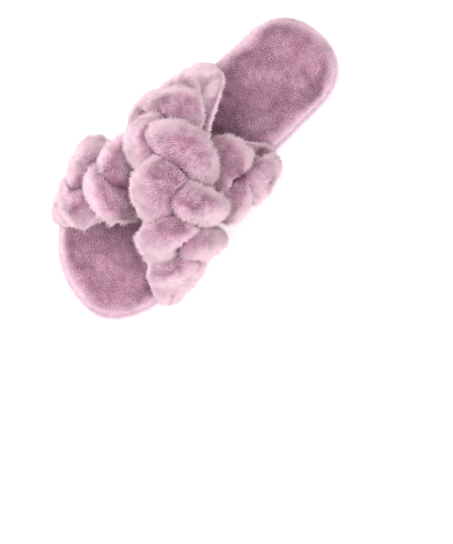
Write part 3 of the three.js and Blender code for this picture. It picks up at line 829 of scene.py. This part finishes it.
def underside(edge_ring, pockets, mouth):
    """The flat of the sole between its edge and the mouths of the pockets, whose points start at mouth."""
    count = len(edge_ring)
    flat = [Vector(p) for p in edge_ring] + [Vector(p) for p in pockets.reshape(-1, 2)]
    loops = [list(range(count))] + [[count + 4 * n + k for k in range(4)] for n in range(len(pockets))]
    edges = [(loop[k], loop[(k + 1) % len(loop)]) for loop in loops for k in range(len(loop))]
    _, _, cells, sources, _, _ = delaunay_2d_cdt(flat, edges, [], 1, 1e-5)
    faces = []
    for cell in cells:
        corners = [sources[v][0] for v in cell]
        inside_pocket = min(corners) >= count and len({(c - count) // 4 for c in corners}) == 1
        if not inside_pocket:
            faces.append(tuple(c if c < count else mouth + c - count for c in corners)[::-1])
    return faces


def outsole():
    """The moulding: a rolled rim, a groove for the stitches and sunk lozenges."""
    count = 480
    loop = evenly(sole_outline(), count)
    out = outward(loop)

    def ring(inset, z):
        return np.column_stack([loop - out * inset, np.full(count, z)])

    groove_inner = GROOVE_INSET + GROOVE_WIDTH
    bend = np.linspace(0, math.pi / 2, 6)
    bead = [(RIM_ROUND * (1 - math.sin(a)), RIM_ROUND * (1 - math.cos(a))) for a in bend]
    rings = [ring(groove_inner, 0), ring(groove_inner - GROOVE_DRAFT, GROOVE_DEPTH),
             ring(GROOVE_INSET + GROOVE_DRAFT, GROOVE_DEPTH), ring(GROOVE_INSET, 0)]
    rings += [ring(inset, z) for inset, z in bead]
    rings += [ring(inset, RIM_HEIGHT - z) for inset, z in bead[::-1]]
    rings += [ring(RIM_WIDTH - RIM_ROUND / 2, RIM_HEIGHT), ring(RIM_WIDTH, RIM_HEIGHT - RIM_ROUND / 2),
              ring(RIM_WIDTH, OUTSOLE_THICKNESS)]
    faces = join_rings(len(rings), count)
    pockets = tread_pockets()
    floors = pockets * (1 - TREAD_DRAFT) + pockets.mean(1, keepdims=True) * TREAD_DRAFT
    mouth = len(rings) * count
    deep = mouth + 4 * len(pockets)
    points = np.vstack(rings + [np.column_stack([p.reshape(-1, 2), np.full(4 * len(pockets), z)])
                                for p, z in ((pockets, 0.0), (floors, TREAD_DEPTH))])
    faces += underside(rings[0][:, :2], pockets, mouth)
    for n in range(len(pockets)):
        for k in range(4):
            a, b = 4 * n + k, 4 * n + (k + 1) % 4
            faces.append((mouth + a, mouth + b, deep + b, deep + a))
        faces.append(tuple(deep + 4 * n + k for k in range(4))[::-1])
    faces.append(tuple(mouth - count + j for j in range(count)))
    piece = moulded_piece("outsole_moulding", points, faces, RUBBER)
    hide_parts("outsole")
    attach(piece, "root")


outsole()


def stitches():
    """A row of sunk stitches: each is one short loop of twisted thread."""
    loop = evenly(OUTLINE - OUTWARD * (GROOVE_INSET + GROOVE_WIDTH / 2), STITCH_COUNT)
    points, faces = [], []
    rows, sides = 7, 8
    turns = 2 * math.pi * np.arange(sides) / sides
    up = np.array([0, 0, 1])
    for place, out in zip(loop, outward(loop)):
        along = np.array([-out[1], out[0], 0])
        over = np.array([out[0], out[1], 0])
        first = len(points)
        for t in np.linspace(-1, 1, rows):
            thick = STITCH_RADIUS * math.sqrt(max(1 - abs(t) ** 5, 0.02))
            height = GROOVE_DEPTH * 0.55 + 0.25 * t * t
            centre = np.array([place[0], place[1], height]) + along * t * STITCH_PITCH * 0.43
            points += [centre + thick * (math.cos(a) * over + math.sin(a) * up) for a in turns]
        for r in range(rows - 1):
            for s in range(sides):
                a, b = first + r * sides + s, first + r * sides + (s + 1) % sides
                faces.append((a, b, b + sides, a + sides))
        faces.append(tuple(first + s for s in range(sides))[::-1])
        faces.append(tuple(first + (rows - 1) * sides + s for s in range(sides)))
    piece = moulded_piece("outsole_stitches", points, faces, THREAD)
    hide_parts("outsole_stitching")
    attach(piece, "root")


stitches()

for node, material in (("insole_board", BOARD), ("midsole_foam", FOAM), ("cushion_foam", FOAM)):
    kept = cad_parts[node]
    kept.data.materials.clear()
    kept.data.materials.append(material)


# ---- Stage ----

def floor():
    """A plain pale floor, sprayed paper white."""
    mesh = bpy.data.meshes.new("floor")
    size, z = 3.0, -0.0005
    corners = [(-size, -size, z), (size, -size, z), (size, size, z), (-size, size, z)]
    mesh.from_pydata(corners, [], [(0, 1, 2, 3)])
    material, shader = new_material("Sprayed_board_white")
    place = add_node(material, "ShaderNodeTexCoord")
    noise = add_node(material, "ShaderNodeTexNoise", {
        "Vector": place.outputs["Object"], "Scale": 9.0, "Detail": 2.0})
    colour = add_node(material, "ShaderNodeValToRGB", {"Fac": noise.outputs["Fac"]},
                      stops=[(0.2, "#f4f4f5"), (0.8, "#f8f8f8")])
    set_inputs(material, shader, {"Base Color": colour.outputs["Color"], "Roughness": 0.9})
    mesh.materials.append(material)
    add_piece(mesh)


floor()


TOWARDS_VIEWER = Vector((-0.70, 0.714, 0)).normalized()
TO_THE_RIGHT = Vector((-TOWARDS_VIEWER.y, TOWARDS_VIEWER.x, 0))
UPWARDS = Vector((0, 0, 1))
SLIPPER_MIDDLE = UPWARDS * 0.03


def soft_light(name, place, size, power):
    """A round lamp that looks at the slipper's middle."""
    data = bpy.data.lights.new(name, "AREA")
    data.shape = "DISK"
    data.size = size
    data.energy = power
    light = bpy.data.objects.new(name, data)
    light.location = place
    light.rotation_euler = (SLIPPER_MIDDLE - place).to_track_quat("-Z", "Y").to_euler()
    bpy.context.scene.collection.objects.link(light)


soft_light("key", UPWARDS * 0.9 - TOWARDS_VIEWER * 0.3 - TO_THE_RIGHT * 1.1, size=1.6, power=14)
soft_light("fill", UPWARDS * 0.9 + TOWARDS_VIEWER * 0.9 + TO_THE_RIGHT * 0.5, size=1.2, power=9)
world = bpy.data.worlds.new("studio")
world.use_nodes = True
world.node_tree.nodes["Background"].inputs["Color"].default_value = (1, 1, 1, 1)
world.node_tree.nodes["Background"].inputs["Strength"].default_value = 1.3
bpy.context.scene.world = world
bpy.context.scene.view_settings.view_transform = "Standard"

ELEVATION = math.radians(82)
DISTANCE = 1.02
aim = SLIPPER_MIDDLE + TO_THE_RIGHT * 0.0196 + TOWARDS_VIEWER * 0.080
backward = TOWARDS_VIEWER * math.cos(ELEVATION) + UPWARDS * math.sin(ELEVATION)
turned = Matrix((TO_THE_RIGHT, backward.cross(TO_THE_RIGHT), backward)).transposed().to_4x4()
camera_data = bpy.data.cameras.new("camera")
camera_data.sensor_fit = "VERTICAL"
camera_data.sensor_height = 36
camera_data.lens = 100
camera_data.clip_start = 0.01
camera = bpy.data.objects.new("camera", camera_data)
camera.matrix_world = Matrix.Translation(aim + backward * DISTANCE) @ turned
bpy.context.scene.collection.objects.link(camera)
bpy.context.scene.camera = camera
